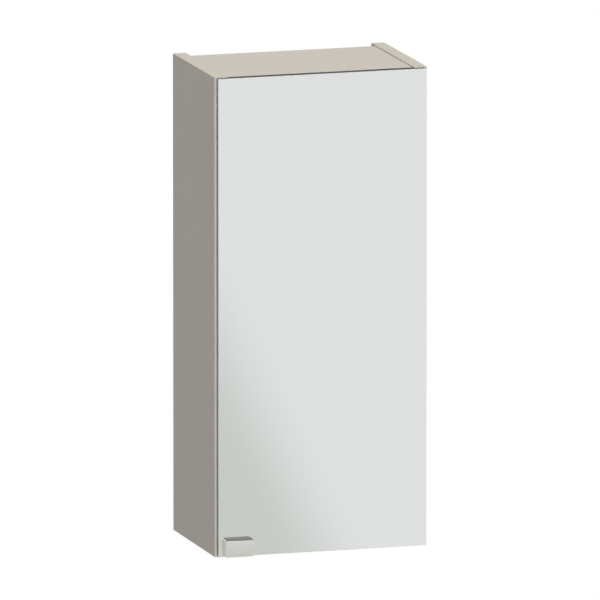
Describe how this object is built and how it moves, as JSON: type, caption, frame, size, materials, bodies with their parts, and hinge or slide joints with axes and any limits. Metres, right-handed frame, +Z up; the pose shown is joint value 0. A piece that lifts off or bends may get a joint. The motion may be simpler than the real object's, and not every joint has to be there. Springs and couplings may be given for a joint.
{
  "type": "mirrored wall cabinet",
  "caption": "Narrow wall cabinet in grey-beige laminated board with a frameless mirror door hinged on the right, shelves inside and hooks for a wall rail.",
  "frame": {"origin": "on the plane of the side panels' lower edges, midway across the width and midway from the handle's lip to the wall", "axes": "+Z up, +Y to the wall, +X to the right for someone facing the mirror"},
  "size_m": [0.3, 0.2212, 0.66],
  "materials": {
    "laminated_board": "grey-beige melamine laminate, smooth matt",
    "edging": "plastic edging in the board's colour",
    "back_board": "thin fibreboard with a matching face",
    "zinc_plated_steel": "bright zinc plating",
    "hinge_steel": "nickel-plated steel",
    "beech": "plain beech",
    "cover_plastic": "plastic in the board's colour",
    "fitting_plastic": "light grey moulded plastic",
    "magnet": "dark ferrite",
    "bumper_rubber": "clear soft plastic",
    "mirror": "silvered glass with ground edges",
    "mirror_back_film": "grey paint and safety film",
    "handle_metal": "satin metal",
    "gasket": "thin clear pad"
  },
  "bodies": {
    "cabinet": {"left_side_panel": "laminated_board", "right_side_panel": "laminated_board", "top_panel": "laminated_board", "bottom_panel": "laminated_board", "back_panel": "back_board", "left_edge_band": "edging", "right_edge_band": "edging", "top_edge_band": "edging", "bottom_edge_band": "edging", "lower_shelf": "laminated_board", "upper_shelf": "laminated_board", "lower_shelf_supports": "zinc_plated_steel", "upper_shelf_supports": "zinc_plated_steel", "cam_locks": "zinc_plated_steel", "cam_bolts": "zinc_plated_steel", "wood_dowels": "beech", "cam_cover_caps": "cover_plastic", "left_hanger_housing": "fitting_plastic", "right_hanger_housing": "fitting_plastic", "left_depth_screw": "zinc_plated_steel", "right_depth_screw": "zinc_plated_steel", "left_hanger_fixing_screws": "zinc_plated_steel", "right_hanger_fixing_screws": "zinc_plated_steel", "lower_hinge_cabinet_leaf": "hinge_steel", "upper_hinge_cabinet_leaf": "hinge_steel", "lower_hinge_pin": "hinge_steel", "upper_hinge_pin": "hinge_steel", "lower_hinge_screws": "zinc_plated_steel", "upper_hinge_screws": "zinc_plated_steel", "catch_housing": "fitting_plastic", "catch_magnet": "magnet", "catch_screws": "zinc_plated_steel", "door_bumpers": "bumper_rubber"},
    "door": {"mirror_glass": "mirror", "mirror_backing": "mirror_back_film", "handle_body": "handle_metal", "handle_gasket": "gasket", "handle_screws": "zinc_plated_steel", "handle_washers": "zinc_plated_steel", "lower_hinge_door_leaf": "hinge_steel", "upper_hinge_door_leaf": "hinge_steel", "catch_strike_plate": "zinc_plated_steel"},
    "left_hook": {"left_hanger_hook": "zinc_plated_steel"},
    "right_hook": {"right_hanger_hook": "zinc_plated_steel"},
    "left_height_screw": {"left_height_screw": "zinc_plated_steel"},
    "right_height_screw": {"right_height_screw": "zinc_plated_steel"}
  },
  "joints": [
    {"name": "door_swing", "type": "hinge", "parent": "cabinet", "child": "door", "pos_m": [0.1468, -0.0895, 0.33], "axis": [0, 0, 1], "range_deg": [0, 105]},
    {"name": "left_hook_height", "type": "slide", "parent": "cabinet", "child": "left_hook", "axis": [0, 0, 1], "range_m": [-0.005, 0.005]},
    {"name": "left_height_screw_turn", "type": "hinge", "parent": "cabinet", "child": "left_height_screw", "pos_m": [-0.1225, 0.0411, 0.6105], "axis": [0, 1, 0], "range_deg": [-65.7, 65.7]},
    {"name": "right_hook_height", "type": "slide", "parent": "cabinet", "child": "right_hook", "axis": [0, 0, 1], "range_m": [-0.005, 0.005]},
    {"name": "right_height_screw_turn", "type": "hinge", "parent": "cabinet", "child": "right_height_screw", "pos_m": [0.1225, 0.0411, 0.6105], "axis": [0, 1, 0], "range_deg": [-65.7, 65.7]}
  ],
  "couplings": [
    {"joint": "left_height_screw_turn", "follows": "left_hook_height", "rad_per_m": 227.27},
    {"joint": "right_height_screw_turn", "follows": "right_hook_height", "rad_per_m": 227.27}
  ]
}
